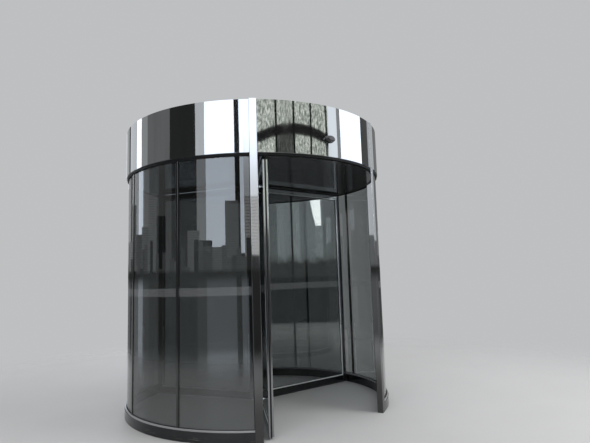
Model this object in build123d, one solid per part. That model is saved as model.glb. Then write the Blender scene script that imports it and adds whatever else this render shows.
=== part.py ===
from build123d import *
import os
from math import sqrt

# A three-wing revolving door with a round drum. Millimetres, +Z up.
# The origin is on the floor at the middle of the drum, and the street side is towards -Y.

# Plan of the drum
inner_radius = 1500.0
ring_width = 60.0
outer_radius = inner_radius + ring_width
opening_angle = 60.0
front_middle = 270.0
rear_middle = 90.0
panes_per_wall = 4

# Heights from the floor
clear_height = 2680.0
channel_height = 20.0
fascia_height = 540.0
post_overrun = 10.0
base_height = 100.0
base_edge = 2.0

# Glass and its seats
wall_glass = 12.0
wall_groove_depth = 15.0
wing_glass = 10.0
wing_groove_depth = 12.0
glass_slack = 0.4

# Glazing beads, which press the gaskets against the glass
wall_gasket = 7.5
wall_bead_width = 12.0
wall_bead_height = 16.0
wing_gasket = 3.5
wing_bead_width = 10.5
wing_bead_depth = 10.0
bead_corner = 2.5
corner_bulge = 0.3

# Posts beside the openings
post_width = 78.0
post_proud = 2.0
post_corner = 4.0
post_wall = 3.0

# Upright joints between curved panes
joint_width = 22.0
joint_depth = 26.0
joint_cap = 4.0
joint_corner = 1.6
joint_web = 8.0

# Canopy
fascia_sheet = 3.0
fascia_lip = 100.0
fascia_lip_corner = 6.0
channel_setback = 8.0
ceiling_sheet = 20.0
roof_sheet = 8.0
ring_beam_width = 60.0
ring_beam_height = 100.0
cross_beam_width = 80.0
cross_beam_height = 120.0
tube_wall = 5.0

# Rotor
rest_angle = 4.3
wing_count = 3
shaft_radius = 57.0
pivot_radius = 25.0
journal_radius = 40.0
stile_width = 60.0
frame_depth = 50.0
frame_wall = 3.0
stile_corner = 3.0
rail_corner = 6.0
top_rail_height = 50.0
seal_reach = 20.0
floor_seal_drop = 20.0
head_seal_rise = 20.0
seal_thickness = 8.0
seal_holder = 16.0
seal_holder_height = 8.0
collar_radius = 76.0
collar_height = 60.0
collar_edge = 4.0

# Clearances
running_gap = 5.0
pin_gap = 0.3
seat_gap = 0.3
shaft_hole_gap = 8.0

# Bearings
floor_disc_radius = 95.0
floor_disc_height = 10.0
floor_boss_radius = 45.0
floor_boss_height = 34.0
floor_disc_edge = 3.0
pivot_seat_floor = 4.0
housing_plate = 340.0
housing_plate_height = 16.0
housing_radius = 105.0
housing_height = 110.0
housing_edge = 6.0

# Motion sensors on the fascia
sensor_width = 108.0
sensor_height = 70.0
sensor_depth = 45.0
sensor_rise = 185.0
sensor_round = 20.0
sensor_root = 5.0
sensor_plate_margin = 5.0
sensor_plate = 4.0

# Sizes that follow from the ones above
fascia_bottom = clear_height + channel_height
fascia_top = fascia_bottom + fascia_height
post_top = fascia_top + post_overrun
wall_middle = inner_radius + ring_width / 2
glass_inner = wall_middle - wall_glass / 2
glass_outer = wall_middle + wall_glass / 2
post_outer = outer_radius + post_proud
post_depth = post_outer - inner_radius
half_opening = opening_angle / 2
wall_span = 180.0 - opening_angle
pane_span = wall_span / panes_per_wall
post_angles = [front_middle - half_opening, front_middle + half_opening,
               rear_middle - half_opening, rear_middle + half_opening]
right_wall_start = front_middle + half_opening
left_wall_start = rear_middle + half_opening
wing_tip = inner_radius - running_gap
stile_outer = wing_tip - seal_reach
stile_inner = shaft_radius + seat_gap
rotor_bottom = running_gap
rotor_top = clear_height - running_gap
frame_bottom = rotor_bottom + floor_seal_drop
frame_top = rotor_top - head_seal_rise
bottom_rail_height = base_height - frame_bottom
cross_beam_spacing = housing_plate - cross_beam_width
wall_seat = wall_glass + 2 * glass_slack
wing_seat = wing_glass + 2 * glass_slack

os.makedirs("parts", exist_ok=True)


def save(name, *solids):
    """Write one sub-part, made of one or more solids, under its own name."""
    shape = Compound(children=list(solids)) if len(solids) > 1 else solids[0]
    export_step(shape, f"parts/{name}.step")


def turned(shape, angle):
    """A copy of a shape turned about the drum's axis."""
    return Rot(0, 0, angle) * shape


def swept(outline, start, span):
    """Turn a closed outline of (radius, height) points about the drum's axis."""
    face = make_face(Plane.XZ * Polyline(*outline, close=True))
    return turned(revolve(face, Axis.Z, span), start)


def block(x_from, x_to, width, z_from, z_to):
    """A block that reaches outwards along +X, centred on it, between two heights."""
    size = (x_to - x_from, width, z_to - z_from)
    middle = ((x_from + x_to) / 2, 0, (z_from + z_to) / 2)
    return Pos(*middle) * Box(*size)


def disc(radius, z_from, z_to):
    """An upright cylinder on the drum's axis between two heights."""
    return Pos(0, 0, (z_from + z_to) / 2) * Cylinder(radius, z_to - z_from)


def post_outline():
    """Outline of a post at +X, seen from above."""
    middle = (inner_radius + post_outer) / 2
    return Pos(middle, 0) * RectangleRounded(post_depth, post_width, post_corner)


def post_section(wall_side):
    """Section of a hollow post at +X, with a solid seat for the wall's glass on one side."""
    middle = (inner_radius + post_outer) / 2
    hollow = Pos(middle, 0) * Rectangle(post_depth - 2 * post_wall, post_width - 2 * post_wall)
    seat_y = wall_side * (post_width / 2 - post_wall - wall_groove_depth / 2)
    seat = Pos(wall_middle, seat_y) * Rectangle(wall_seat + 2 * post_wall, wall_groove_depth)
    return post_outline() - hollow + seat


def post(angle, wall_side):
    """A polished hollow post from the floor to just above the fascia, capped at its top."""
    tube = extrude(post_section(wall_side), post_top - post_wall)
    cap = Pos(0, 0, post_top - post_wall) * extrude(post_outline(), post_wall)
    groove_y = wall_side * (post_width / 2 - wall_groove_depth / 2)
    mouth = Pos(wall_middle, groove_y) * Rectangle(ring_width, wall_groove_depth)
    ring = Circle(glass_outer + glass_slack) - Circle(glass_inner - glass_slack)
    groove = Pos(0, 0, base_height) * extrude(mouth & ring, clear_height - base_height)
    return turned(tube + cap - groove, angle)


def post_cutters(slack, inner):
    """Blocks where the posts pass through the rings and sheets, from an inner radius outwards."""
    cutter = block(inner, post_outer + ring_width, post_width + 2 * slack, -1.0, post_top + 1.0)
    return [turned(cutter, angle) for angle in post_angles]


def across_ring():
    """Cutters that part a ring wholly where it meets the sides of the posts."""
    return post_cutters(0, inner_radius - ring_width)


def round_posts():
    """Cutters for notches that fit round the posts."""
    return post_cutters(seat_gap, inner_radius - seat_gap)


def without(shape, tools):
    """A shape with each tool cut out of it."""
    for tool in tools:
        shape = shape - tool
    return shape


def base_ring(start):
    """Curved base rail of one wall, with a groove in its top for the glass."""
    groove_in = glass_inner - glass_slack
    groove_out = glass_outer + glass_slack
    groove_floor = base_height - wall_groove_depth
    outline = [(inner_radius, 0), (outer_radius, 0), (outer_radius, base_height - base_edge),
               (outer_radius - base_edge, base_height), (groove_out, base_height),
               (groove_out, groove_floor), (groove_in, groove_floor), (groove_in, base_height),
               (inner_radius + base_edge, base_height), (inner_radius, base_height - base_edge)]
    return without(swept(outline, start, wall_span), across_ring())


def wall_beads(start):
    """Beads that stand on one base ring, one on each side of the curved glass."""
    top = base_height + wall_bead_height
    bulge = bead_corner * corner_bulge
    beads = []
    for inner in (glass_inner - wall_gasket - wall_bead_width, glass_outer + wall_gasket):
        outer = inner + wall_bead_width
        outline = [(inner, base_height), (outer, base_height), (outer, top - bead_corner),
                   (outer - bulge, top - bulge), (outer - bead_corner, top),
                   (inner + bead_corner, top), (inner + bulge, top - bulge), (inner, top - bead_corner)]
        beads.append(without(swept(outline, start, wall_span), across_ring()))
    return beads


def head_channel(start, span, grooved):
    """Dark recessed channel under the fascia, grooved where it holds the wall's glass."""
    inner = inner_radius + channel_setback
    outer = outer_radius - channel_setback
    outline = [(inner, clear_height), (inner, fascia_bottom), (outer, fascia_bottom),
               (outer, clear_height)]
    if grooved:
        groove_top = clear_height + wall_groove_depth
        outline += [(glass_outer + glass_slack, clear_height), (glass_outer + glass_slack, groove_top),
                    (glass_inner - glass_slack, groove_top), (glass_inner - glass_slack, clear_height)]
    return without(swept(outline, start, span), across_ring())


def joint_cutter(angle):
    """Room for an upright joint's web between two panes."""
    web = block(wall_middle - joint_depth, wall_middle + joint_depth, joint_web + 2 * seat_gap,
                0, fascia_bottom)
    return turned(web, angle)


def wall_glass_panes(start):
    """The curved panes of one wall, seated in the base ring, the head channel and the posts."""
    z_from = base_height - wall_groove_depth
    z_to = clear_height + wall_groove_depth - glass_slack
    outline = [(glass_inner, z_from), (glass_outer, z_from), (glass_outer, z_to), (glass_inner, z_to)]
    seat = post_width / 2 - wall_groove_depth + glass_slack
    edge = block(inner_radius, outer_radius, 2 * seat, 0, fascia_bottom)
    panes = []
    for index in range(panes_per_wall):
        pane_start = start + index * pane_span
        pane = swept(outline, pane_start, pane_span)
        at_start = turned(edge, pane_start) if index == 0 else joint_cutter(pane_start)
        last = index == panes_per_wall - 1
        pane_end = pane_start + pane_span
        at_end = turned(edge, pane_end) if last else joint_cutter(pane_end)
        panes.append(without(pane, [at_start, at_end] + post_notches()))
    return panes


def post_notches():
    """The solid feet and heads of the posts, which the glass stops short of."""
    width = post_width + 2 * seat_gap
    foot = block(inner_radius, outer_radius, width, 0, base_height + seat_gap)
    head = block(inner_radius, outer_radius, width, clear_height - seat_gap, fascia_bottom)
    return [turned(notch, angle) for angle in post_angles for notch in (foot, head)]


def glass_joints(start):
    """Upright H-shaped joints between the panes of one wall."""
    web = Rectangle(joint_depth, joint_web)
    cap_x = joint_depth / 2 - joint_cap / 2
    outer_cap = Pos(cap_x, 0) * RectangleRounded(joint_cap, joint_width, joint_corner)
    inner_cap = Pos(-cap_x, 0) * RectangleRounded(joint_cap, joint_width, joint_corner)
    section = Pos(wall_middle, 0) * (web + outer_cap + inner_cap)
    bar = Pos(0, 0, base_height) * extrude(section, clear_height - base_height)
    return [turned(bar, start + index * pane_span) for index in range(1, panes_per_wall)]


def fascia(start, span):
    """Polished sheet of the canopy, folded inwards at its foot and its top."""
    inner = outer_radius - fascia_sheet
    lip = outer_radius - fascia_lip
    corner = fascia_lip_corner
    outline = [(lip, fascia_bottom), (outer_radius - corner, fascia_bottom),
               (outer_radius - corner * corner_bulge, fascia_bottom + corner * corner_bulge),
               (outer_radius, fascia_bottom + corner), (outer_radius, fascia_top), (lip, fascia_top),
               (lip, fascia_top - fascia_sheet), (inner, fascia_top - fascia_sheet),
               (inner, fascia_bottom + corner), (inner - corner, fascia_bottom + fascia_sheet),
               (lip, fascia_bottom + fascia_sheet)]
    return without(swept(outline, start, span), round_posts())


def ceiling_panel():
    """Dark ceiling over the wings, with a hole for the shaft."""
    rim = inner_radius + channel_setback - seat_gap
    panel = disc(rim, clear_height, clear_height + ceiling_sheet)
    hole = disc(shaft_radius + shaft_hole_gap, clear_height - 1, clear_height + ceiling_sheet + 1)
    return without(panel - hole, round_posts())


def ring_beam_outer():
    """Outer radius of the canopy's ring beam, clear of the posts."""
    return inner_radius - seat_gap


def ring_beam():
    """Steel ring inside the canopy, standing on the lips of the folded sheets."""
    outer = ring_beam_outer()
    inner = outer - ring_beam_width
    z_from = fascia_bottom + fascia_sheet
    z_to = z_from + ring_beam_height
    tube = [(inner, z_from), (outer, z_from), (outer, z_to), (inner, z_to)]
    hollow = [(inner + tube_wall, z_from + tube_wall), (outer - tube_wall, z_from + tube_wall),
              (outer - tube_wall, z_to - tube_wall), (inner + tube_wall, z_to - tube_wall)]
    return swept(tube, 0, 360) - swept(hollow, 0, 360)


def cross_beam(side):
    """Hollow beam across the inside of the ring beam, lying on the ceiling beside the shaft."""
    y_middle = side * cross_beam_spacing / 2
    ring_inner = ring_beam_outer() - ring_beam_width - seat_gap
    reach_y = cross_beam_spacing / 2 + cross_beam_width / 2
    half_length = sqrt(ring_inner ** 2 - reach_y ** 2)
    z_from = clear_height + ceiling_sheet
    middle = Pos(0, y_middle, z_from + cross_beam_height / 2)
    tube = middle * Box(2 * half_length, cross_beam_width, cross_beam_height)
    hollow = middle * Box(2 * half_length + 2, cross_beam_width - 2 * tube_wall,
                          cross_beam_height - 2 * tube_wall)
    return tube - hollow


def top_bearing():
    """Flanged bearing housing on the cross beams, round the shaft's journal."""
    z_plate = clear_height + ceiling_sheet + cross_beam_height
    plate = Pos(0, 0, z_plate + housing_plate_height / 2) * Box(
        housing_plate, housing_plate, housing_plate_height)
    cup = disc(housing_radius, z_plate, z_plate + housing_height)
    bore = disc(journal_radius + pin_gap, z_plate - 1, z_plate + housing_height + 1)
    body = plate + cup
    top_rim = body.edges().filter_by(GeomType.CIRCLE).sort_by(Axis.Z)[-1]
    return chamfer(top_rim, housing_edge) - bore


def roof_panel():
    """Dust cover that closes the canopy under the folded top of the sheets."""
    rim = outer_radius - fascia_sheet - seat_gap
    z_to = fascia_top - fascia_sheet
    panel = disc(rim, z_to - roof_sheet, z_to)
    return without(panel, round_posts())


def floor_bearing():
    """Pivot seat on the floor at the drum's axis."""
    base = disc(floor_disc_radius, 0, floor_disc_height)
    boss = disc(floor_boss_radius, 0, floor_boss_height)
    seat = disc(pivot_radius + pin_gap, pivot_seat_floor, floor_boss_height + 1)
    rim = base.edges().filter_by(GeomType.CIRCLE).sort_by(Axis.Z)[-1]
    return chamfer(rim, floor_disc_edge) + boss - seat


def motion_sensor(middle_angle):
    """Domed oval sensor housing on its plate, seated on the fascia over an opening."""
    oval = Ellipse(sensor_width / 2, sensor_height / 2)
    dome = extrude(Plane.YZ * oval, sensor_root + sensor_depth)
    front = dome.edges().sort_by(Axis.X)[-1]
    dome = fillet(front, sensor_round)
    rim = Ellipse(sensor_width / 2 + sensor_plate_margin, sensor_height / 2 + sensor_plate_margin)
    plate = extrude(Plane.YZ * rim, sensor_root + sensor_plate)
    place = Pos(outer_radius - sensor_root, 0, fascia_bottom + sensor_rise)
    sheet = disc(outer_radius + seat_gap, fascia_bottom, fascia_top)
    return turned(place * (dome + plate) - sheet, middle_angle)


def shaft():
    """Polished centre shaft with a pivot at its foot and a journal at its head."""
    shoulder = floor_boss_height + running_gap
    neck = clear_height + ceiling_sheet + cross_beam_height - running_gap
    top = neck + running_gap + housing_height + running_gap
    outline = [(0, pivot_seat_floor + pin_gap), (pivot_radius, pivot_seat_floor + pin_gap),
               (pivot_radius, shoulder), (shaft_radius, shoulder), (shaft_radius, neck),
               (journal_radius, neck), (journal_radius, top), (0, top)]
    return swept(outline, 0, 360)


def collar(z_from):
    """Segments clamped round the shaft between the wings' inner stiles."""
    ring = disc(collar_radius, z_from, z_from + collar_height)
    rims = ring.edges().filter_by(GeomType.CIRCLE)
    ring = chamfer(rims, collar_edge)
    bore = disc(shaft_radius + seat_gap, z_from - 1, z_from + collar_height + 1)
    notch = block(shaft_radius / 2, collar_radius + 1, frame_depth + 2 * seat_gap,
                  z_from - 1, z_from + collar_height + 1)
    notches = [turned(notch, rest_angle + turn * 360 / wing_count) for turn in range(wing_count)]
    return without(ring - bore, notches)


def frame_section(width, corner):
    """Section of a hollow wing bar: its glazing groove in the +X side, with a chamber behind
    the groove and a small one on each side of it."""
    body = RectangleRounded(width, frame_depth, corner)
    groove = Pos(width / 2 - wing_groove_depth / 2, 0) * Rectangle(wing_groove_depth, wing_seat)
    chamber_width = width - wing_groove_depth - 2 * frame_wall
    chamber = Pos(frame_wall - width / 2 + chamber_width / 2, 0) * Rectangle(
        chamber_width, frame_depth - 2 * frame_wall)
    cheek_width = wing_groove_depth - frame_wall
    cheek_depth = (frame_depth - wing_seat) / 2 - 2 * frame_wall
    cheek_x = width / 2 - frame_wall - cheek_width / 2
    cheek_y = wing_seat / 2 + frame_wall + cheek_depth / 2
    cheeks = [Pos(cheek_x, side * cheek_y) * Rectangle(cheek_width, cheek_depth) for side in (-1, 1)]
    return without(body, [groove, chamber] + cheeks)


def wing_stiles():
    """Inner and outer stile of a wing, grooved towards each other for the glass."""
    section = frame_section(stile_width, stile_corner)
    bar = Pos(0, 0, frame_bottom) * extrude(section, frame_top - frame_bottom)
    inner = Pos(stile_inner + stile_width / 2, 0, 0) * bar
    saddle = block(shaft_radius / 2, stile_inner + frame_wall, frame_depth, frame_bottom, frame_top)
    inner = inner + saddle - disc(shaft_radius + seat_gap, 0, clear_height)
    outer = Pos(stile_outer - stile_width / 2, 0, 0) * turned(bar, 180)
    return inner, outer


def wing_rail(z_from, height, groove_up):
    """Rail between the stiles, with its glazing groove upwards or downwards."""
    x_from = stile_inner + stile_width
    x_to = stile_outer - stile_width
    upright = Rot(0, -90, 0) if groove_up else Rot(0, 90, 0)
    bar = upright * extrude(frame_section(height, rail_corner), (x_to - x_from) / 2, both=True)
    return Pos((x_from + x_to) / 2, 0, z_from + height / 2) * bar


def wing_pane():
    """Flat pane of a wing, seated in the stiles' and rails' grooves."""
    seat = wing_groove_depth
    x_from = stile_inner + stile_width - seat + glass_slack
    x_to = stile_outer - stile_width + seat - glass_slack
    z_from = frame_bottom + bottom_rail_height - seat
    z_to = frame_top - top_rail_height + seat - glass_slack
    pane = block(x_from, x_to, wing_glass, z_from, z_to)
    width = frame_depth + 2
    inner_end = stile_inner + stile_width + seat_gap
    outer_end = stile_outer - stile_width - seat_gap
    return without(pane, [block(x_from - 1, inner_end, width, z_from - 1, z_from + seat),
                          block(outer_end, x_to + 1, width, z_from - 1, z_from + seat),
                          block(x_from - 1, inner_end, width, z_to - seat, z_to + 1),
                          block(outer_end, x_to + 1, width, z_to - seat, z_to + 1)])


def wing_beads():
    """Beads round the pane of a wing, one on each face, held between its stiles and rails."""
    x_from = stile_inner + stile_width
    x_to = stile_outer - stile_width
    z_from = frame_bottom + bottom_rail_height
    z_to = frame_top - top_rail_height
    sight = block(x_from + wing_bead_width, x_to - wing_bead_width, frame_depth,
                  z_from + wing_bead_width, z_to - wing_bead_width)
    loop = block(x_from, x_to, wing_bead_depth, z_from, z_to) - sight
    front = loop.faces().sort_by(Axis.Y)[-1]
    loop = chamfer(front.inner_wires()[0].edges(), bead_corner)
    loop = Pos(0, wing_glass / 2 + wing_gasket + wing_bead_depth / 2, 0) * loop
    return [loop, mirror(loop, Plane.XZ)]


def wing_seals():
    """Brush seals at a wing's outer edge, foot and head, each with its holder."""
    edge_holder = block(stile_outer, stile_outer + seal_holder_height, seal_holder,
                        frame_bottom, frame_top)
    edge_brush = block(stile_outer + seal_holder_height, wing_tip, seal_thickness,
                       frame_bottom, frame_top)
    x_from = floor_disc_radius + 2 * running_gap
    x_to = stile_outer
    foot_holder = block(x_from, x_to, seal_holder, frame_bottom - seal_holder_height, frame_bottom)
    foot_brush = block(x_from, x_to, seal_thickness, rotor_bottom, frame_bottom - seal_holder_height)
    head_holder = block(x_from, x_to, seal_holder, frame_top, frame_top + seal_holder_height)
    head_brush = block(x_from, x_to, seal_thickness, frame_top + seal_holder_height, rotor_top)
    return edge_holder + edge_brush, foot_holder + foot_brush, head_holder + head_brush


def make_drum():
    """The fixed drum: posts, walls, canopy and bearings."""
    post_names = ["post_front_left", "post_front_right", "post_rear_right", "post_rear_left"]
    wall_sides = [-1, 1, -1, 1]
    for name, angle, side in zip(post_names, post_angles, wall_sides):
        save(name, post(angle, side))
    for name, start in (("right", right_wall_start), ("left", left_wall_start)):
        save(f"base_ring_{name}", base_ring(start))
        save(f"head_channel_{name}", head_channel(start, wall_span, True))
        save(f"wall_glass_{name}", *wall_glass_panes(start))
        save(f"glass_joints_{name}", *glass_joints(start))
        save(f"fascia_{name}", fascia(start, wall_span))
    save("wall_beads", *wall_beads(right_wall_start), *wall_beads(left_wall_start))
    for name, middle in (("front", front_middle), ("rear", rear_middle)):
        save(f"head_channel_{name}", head_channel(middle - half_opening, opening_angle, False))
        save(f"fascia_{name}", fascia(middle - half_opening, opening_angle))
        save(f"motion_sensor_{name}", motion_sensor(middle))
    save("ceiling_panel", ceiling_panel())
    save("canopy_ring_beam", ring_beam())
    save("canopy_cross_beams", cross_beam(-1), cross_beam(1))
    save("top_bearing_housing", top_bearing())
    save("roof_panel", roof_panel())
    save("floor_bearing", floor_bearing())


def make_rotor():
    """The turning part: the shaft with its collars, and the wings."""
    save("centre_shaft", shaft())
    save("shaft_collars", collar(frame_bottom + bottom_rail_height),
         collar(frame_top - top_rail_height - collar_height))
    beads = []
    for index in range(wing_count):
        angle = rest_angle + index * 360 / wing_count
        wing = f"wing_{index + 1}"
        inner, outer = wing_stiles()
        save(f"{wing}_inner_stile", turned(inner, angle))
        save(f"{wing}_outer_stile", turned(outer, angle))
        top_rail = wing_rail(frame_top - top_rail_height, top_rail_height, False)
        bottom_rail = wing_rail(frame_bottom, bottom_rail_height, True)
        save(f"{wing}_top_rail", turned(top_rail, angle))
        save(f"{wing}_bottom_rail", turned(bottom_rail, angle))
        save(f"{wing}_glass", turned(wing_pane(), angle))
        save(f"{wing}_seals", *[turned(seal, angle) for seal in wing_seals()])
        beads += [turned(bead, angle) for bead in wing_beads()]
    save("wing_beads", *beads)


make_drum()
make_rotor()
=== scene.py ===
# %% [markdown]
# # A revolving door, dressed in Blender
# The solids come from the CAD frame, in metres, with the floor at z = 0 and the rotor's axis on z.
# This script adds what solids alone don't show: brushes, gaskets, sealant, screws, and a finish for
# every piece. The frame itself is never moved or reshaped.

# %% Load the frame
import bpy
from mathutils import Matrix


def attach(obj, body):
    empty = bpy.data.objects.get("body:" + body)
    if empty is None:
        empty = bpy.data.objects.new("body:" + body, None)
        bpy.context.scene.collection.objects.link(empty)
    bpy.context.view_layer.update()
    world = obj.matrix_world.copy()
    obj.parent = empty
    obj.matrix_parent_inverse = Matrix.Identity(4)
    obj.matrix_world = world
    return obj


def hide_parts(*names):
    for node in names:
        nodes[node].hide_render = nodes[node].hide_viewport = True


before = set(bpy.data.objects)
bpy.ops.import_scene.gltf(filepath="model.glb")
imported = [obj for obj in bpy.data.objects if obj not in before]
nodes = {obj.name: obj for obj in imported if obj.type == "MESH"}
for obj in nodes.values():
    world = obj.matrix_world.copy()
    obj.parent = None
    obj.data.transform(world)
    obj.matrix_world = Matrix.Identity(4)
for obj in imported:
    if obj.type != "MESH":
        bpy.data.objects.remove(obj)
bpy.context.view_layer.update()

# %% Import what the cells use
import math
import random

import bmesh
import bpy
from mathutils import Matrix, Vector

scene = bpy.context.scene

# %% [markdown]
# ## Camera
# The photograph was taken by hand from the street, left of the opening. A camera is placed by where
# it stands, where it looks, and how far it is tipped. Three axes built from those angles make its
# matrix, which is surer than turning it by eye. A small roll is kept, because the posts lean a
# little in the picture. A lens of 29 mm gives the same strong perspective.

# %% Place the camera
EYE = Vector((-3.0386, -5.3129, 1.4893))
HEADING = math.radians(55.507)
TIP = math.radians(6.604)
ROLL = math.radians(-1.798)
LENS = 29.288
FILM_WIDTH = 36.0

ahead = Vector((math.cos(HEADING), math.sin(HEADING), 0))
right = Vector((math.sin(HEADING), -math.cos(HEADING), 0))
up = Vector((0, 0, 1))
look = ahead * math.cos(TIP) + up * math.sin(TIP)
over = up * math.cos(TIP) - ahead * math.sin(TIP)
side_axis = right * math.cos(ROLL) + over * math.sin(ROLL)
top_axis = over * math.cos(ROLL) - right * math.sin(ROLL)

camera = bpy.data.objects.new("camera", bpy.data.cameras.new("camera"))
scene.collection.objects.link(camera)
camera.data.lens = LENS
camera.data.sensor_width = FILM_WIDTH
turned = Matrix((side_axis, top_axis, -look)).transposed()
camera.matrix_world = Matrix.Translation(EYE) @ turned.to_4x4()
scene.camera = camera
print("camera", [round(v, 2) for v in EYE], "lens", round(camera.data.lens, 1), "mm")

# %% [markdown]
# ## Shader sums
# A finish is mostly arithmetic on positions and noise. Wiring Math nodes one by one hides that
# arithmetic, so a small class wraps a node's output: `1 - mask` or `height * 0.3` adds the Math node
# by itself. Any other node comes from one method, which takes its settings and its sockets.

# %% Wrap an output so it can be added and multiplied


class Wire:
    """An output of a node, with the sums that the finishes use."""

    def __init__(self, tree, socket):
        self.tree = tree
        self.socket = socket

    def math(self, operation, other=None, clamp=False):
        step = self.tree.nodes.new("ShaderNodeMath")
        step.operation = operation
        step.use_clamp = clamp
        for slot, value in zip(step.inputs, (self, other)):
            if isinstance(value, Wire):
                self.tree.links.new(value.socket, slot)
            elif value is not None:
                slot.default_value = value
        return Wire(self.tree, step.outputs[0])

    def __add__(self, other):
        return self.math("ADD", other)

    __radd__ = __add__

    def __sub__(self, other):
        return self.math("SUBTRACT", other)

    def __rsub__(self, other):
        return self * -1.0 + other

    def __mul__(self, other):
        return self.math("MULTIPLY", other)

    __rmul__ = __mul__

    def __truediv__(self, other):
        return self.math("DIVIDE", other)

    def __pow__(self, other):
        return self.math("POWER", other)

    def __abs__(self):
        return self.math("ABSOLUTE")

    def over(self, edge):
        """1 where the value is over the edge, and 0 elsewhere."""
        return self.math("GREATER_THAN", edge)

    def under(self, edge):
        return self.math("LESS_THAN", edge)

    def between(self, low, high):
        return self.over(low) * self.under(high)

    def clamped(self):
        return self.math("ADD", 0.0, clamp=True)


# %% Write a class that makes any node


class Tree:
    """The node tree of one finish or of the world."""

    def __init__(self, owner):
        owner.use_nodes = True
        self.owner = owner
        self.tree = owner.node_tree
        self.tree.nodes.clear()

    def node(self, kind, settings=None, sockets=None, output=0):
        made = self.tree.nodes.new("ShaderNode" + kind)
        for name, value in (settings or {}).items():
            if name == "stops":
                self.fill_ramp(made.color_ramp, value)
            else:
                setattr(made, name, value)
        for name, value in (sockets or {}).items():
            if isinstance(value, Wire):
                self.tree.links.new(value.socket, made.inputs[name])
            else:
                made.inputs[name].default_value = value
        return Wire(self.tree, made.outputs[output])

    def fill_ramp(self, ramp, stops):
        while len(ramp.elements) > 1:
            ramp.elements.remove(ramp.elements[-1])
        ramp.elements[0].position = stops[0][0]
        ramp.elements[0].color = stops[0][1]
        for place, colour in stops[1:]:
            ramp.elements.new(place).color = colour

    def place(self):
        """Object coordinates, which are the model's own metres."""
        return self.node("TexCoord", output="Object")

    def parts(self, vector):
        """The three numbers of a vector."""
        split = self.node("SeparateXYZ", sockets={0: vector})
        outs = split.socket.node.outputs
        return [Wire(self.tree, outs[i]) for i in range(3)]

    def stretched(self, vector, scale):
        return self.node("Mapping", sockets={"Vector": vector, "Scale": scale})

    def noise(self, vector, scale, detail=4.0, rough=0.55):
        return self.node("TexNoise", sockets={"Vector": vector, "Scale": scale,
                                              "Detail": detail, "Roughness": rough})

    def chance(self, seed):
        """A random number from 0 to 1, always the same one for the same seed."""
        return self.node("TexWhiteNoise", {"noise_dimensions": "1D"}, {"W": seed})

    def colour(self, red, green, blue):
        return self.node("CombineColor", sockets={0: red, 1: green, 2: blue})

    def blend(self, factor, first, second):
        """A colour between two colours."""
        return self.node("Mix", {"data_type": "RGBA"}, {0: factor, 6: first, 7: second}, output=2)

    def ease(self, value, low, high, start=0.0, end=1.0):
        """A value that goes smoothly from start to end as the given one goes from low to high."""
        return self.node("MapRange", {"interpolation_type": "SMOOTHSTEP"},
                         {0: value, 1: low, 2: high, 3: start, 4: end})

    def bump(self, height, distance, strength=1.0):
        return self.node("Bump", sockets={"Height": height, "Distance": distance, "Strength": strength})

    def surface(self, shader, kind="OutputMaterial"):
        """Send a shader to the output, and give back the material or world."""
        output = self.tree.nodes.new("ShaderNode" + kind)
        self.tree.links.new(shader.socket, output.inputs["Surface"])
        return self.owner


def grey(level, warm=0.0):
    """A grey as a colour, a little warm or cool."""
    return (level * (1 + warm), level, level * (1 - warm), 1.0)


print("shader sums ready")

# %% [markdown]
# ## Studio
# Polished steel and glass show mostly what stands around them. A photographer would stand white
# boards and black flags round the set, so that a curved mirror gets clean light bands with dark
# bars between them. Real boards would also shade the door and show in other views. Here the world
# does their work by direction, for reflections only, while the camera itself sees a plain pale
# backdrop. Directions are degrees round from +X, and heights are sines: 0 is the horizon, 1 is
# straight up.

# %% Hang the boards and flags round the set
world = bpy.data.worlds.new("studio")
scene.world = world
sky = Tree(world)

WHITE, BRIGHT, SOFT, MIST, SCRIM, SHADE, DUSK, FLAG = 2.6, 1.5, 0.85, 0.65, 0.45, 0.22, 0.12, 0.035
boards = [(0, DUSK), (5, MIST), (21, SHADE), (46, FLAG), (50, SHADE), (62, WHITE), (78, SCRIM),
          (96, FLAG), (100, SOFT), (118, WHITE), (126, SCRIM), (136, SHADE), (164, FLAG), (189, SOFT),
          (197, WHITE), (222.5, FLAG), (227, WHITE), (243.5, SCRIM), (306, BRIGHT), (317, SCRIM),
          (321, WHITE), (351.5, DUSK)]


def board_colour(level):
    """A board's colour, which leans to blue as it gets brighter."""
    return (level * (0.99 - level * 0.03), level, level * (1.0 + level * 0.05), 1)


direction = sky.node("TexCoord", output="Generated")
east, north, height = sky.parts(direction)
turn = sky.node("Math", {"operation": "ARCTAN2"}, {0: north, 1: east}) / math.tau
turn = (turn + 1.0).math("FRACT")
degrees_round = turn * 360.0
stops = [(angle / 360, board_colour(level)) for angle, level in boards]
board = sky.node("ValToRGB", {"stops": stops}, {"Fac": turn})
board.socket.node.color_ramp.interpolation = "CONSTANT"
print(len(boards), "boards and flags round the set")

# %% [markdown]
# The scrim opposite the door is a cloth of mottled greens and greys. Slim dark poles carry it, and
# one arched beam crosses it, with a dark opening under it. Noise squeezed along the height gives
# the mottle, and a ping-pong of the direction repeats the pole.

# %% Mottle the scrim, and set poles and an arched beam before it
SCRIM_SPAN = (243.5, 308.0)
SCRIM_TONES = [(0.38, grey(0.10)), (0.50, (0.62, 0.68, 0.60, 1)), (0.62, (1.8, 1.85, 1.7, 1))]
FIRST_POLE, POLE_SPACING, POLE_HALF = 259.3, 15.6, 0.85
ARCH_TOP, ARCH_MIDDLE, ARCH_BEND, ARCH_HALF = 0.302, 272.0, 0.000021, 0.0105

in_scrim = degrees_round.between(*SCRIM_SPAN)
speckle = sky.noise(sky.stretched(direction, (14.0, 14.0, 60.0)), 3.2, detail=6.0, rough=0.78)
cloth = sky.node("ValToRGB", {"stops": SCRIM_TONES}, {"Fac": speckle})
mottled = sky.blend(in_scrim, board, cloth)

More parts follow.
